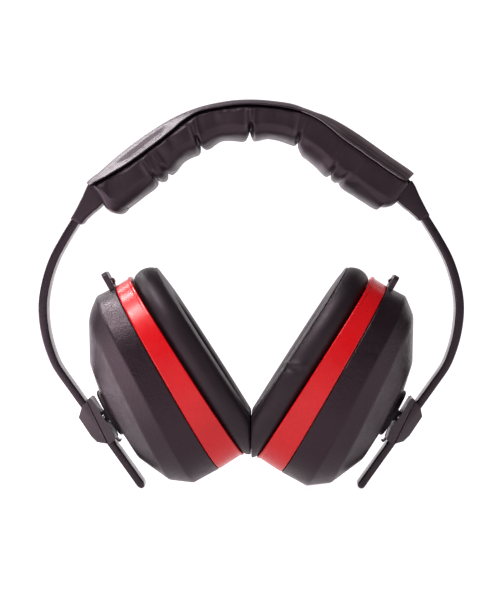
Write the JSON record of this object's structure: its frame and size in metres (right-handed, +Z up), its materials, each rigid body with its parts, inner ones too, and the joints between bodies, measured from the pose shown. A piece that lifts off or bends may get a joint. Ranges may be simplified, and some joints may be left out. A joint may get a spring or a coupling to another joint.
{
  "type": "hearing protection earmuffs",
  "caption": "Hearing protection earmuffs with a padded headband and two cushioned cups that slide, tilt and swivel on its arms.",
  "frame": {"origin": "bottom centre of the box round the whole object", "axes": "+Z up towards the headband's crown, X from ear to ear (-X the left cup), +Y towards the back"},
  "size_m": [0.204, 0.0796, 0.1872],
  "materials": {
    "band": "satin moulded black",
    "pad_vinyl": "soft black vinyl",
    "foam": "open-cell foam",
    "shell": "fine-grained black",
    "trim_red": "satin red",
    "plate": "matte black",
    "seal_vinyl": "smooth black vinyl",
    "liner_foam": "dark grey foam",
    "slider": "satin black",
    "steel": "plain"
  },
  "bodies": {
    "headband": {"headband_strip": "band", "headband_sleeve_top": "pad_vinyl", "headband_pad_cover": "pad_vinyl", "headband_pad_foam": "foam", "headband_sleeve_end_L": "pad_vinyl", "headband_sleeve_end_R": "pad_vinyl"},
    "slider_L": {"slider_body_L": "slider", "slider_cover_L": "slider", "slider_spring_L": "steel"},
    "pivot_L": {"swivel_disc_L": "slider", "tilt_pin_L": "steel", "hub_retainer_L": "steel"},
    "cup_L": {"cup_shell_L": "shell", "trim_ring_L": "trim_red", "cushion_plate_L": "plate", "ear_cushion_skin_L": "seal_vinyl", "ear_cushion_foam_L": "foam", "foam_liner_L": "liner_foam"},
    "slider_R": {"slider_body_R": "slider", "slider_cover_R": "slider", "slider_spring_R": "steel"},
    "pivot_R": {"swivel_disc_R": "slider", "tilt_pin_R": "steel", "hub_retainer_R": "steel"},
    "cup_R": {"cup_shell_R": "shell", "trim_ring_R": "trim_red", "cushion_plate_R": "plate", "ear_cushion_skin_R": "seal_vinyl", "ear_cushion_foam_R": "foam", "foam_liner_R": "liner_foam"}
  },
  "joints": [
    {"name": "height_slide_L", "type": "slide", "parent": "headband", "child": "slider_L", "axis": [0.5821, 0, -0.8131], "range_m": [-0.02, 0]},
    {"name": "cup_tilt_L", "type": "hinge", "parent": "slider_L", "child": "pivot_L", "pos_m": [-0.071, 0, 0.03449], "axis": [0, 1, 0], "range_deg": [0, 7]},
    {"name": "cup_swivel_L", "type": "hinge", "parent": "pivot_L", "child": "cup_L", "pos_m": [-0.069, 0, 0.03564], "axis": [-0.8682, 0, -0.4962], "range_deg": [-95, 95], "deforming": ["ear_cushion_skin_L", "ear_cushion_foam_L"]},
    {"name": "height_slide_R", "type": "slide", "parent": "headband", "child": "slider_R", "axis": [-0.5821, 0, -0.8131], "range_m": [-0.02, 0]},
    {"name": "cup_tilt_R", "type": "hinge", "parent": "slider_R", "child": "pivot_R", "pos_m": [0.071, 0, 0.03449], "axis": [0, -1, 0], "range_deg": [0, 7]},
    {"name": "cup_swivel_R", "type": "hinge", "parent": "pivot_R", "child": "cup_R", "pos_m": [0.069, 0, 0.03564], "axis": [0.8682, 0, -0.4962], "range_deg": [-95, 95], "deforming": ["ear_cushion_skin_R", "ear_cushion_foam_R"]}
  ]
}
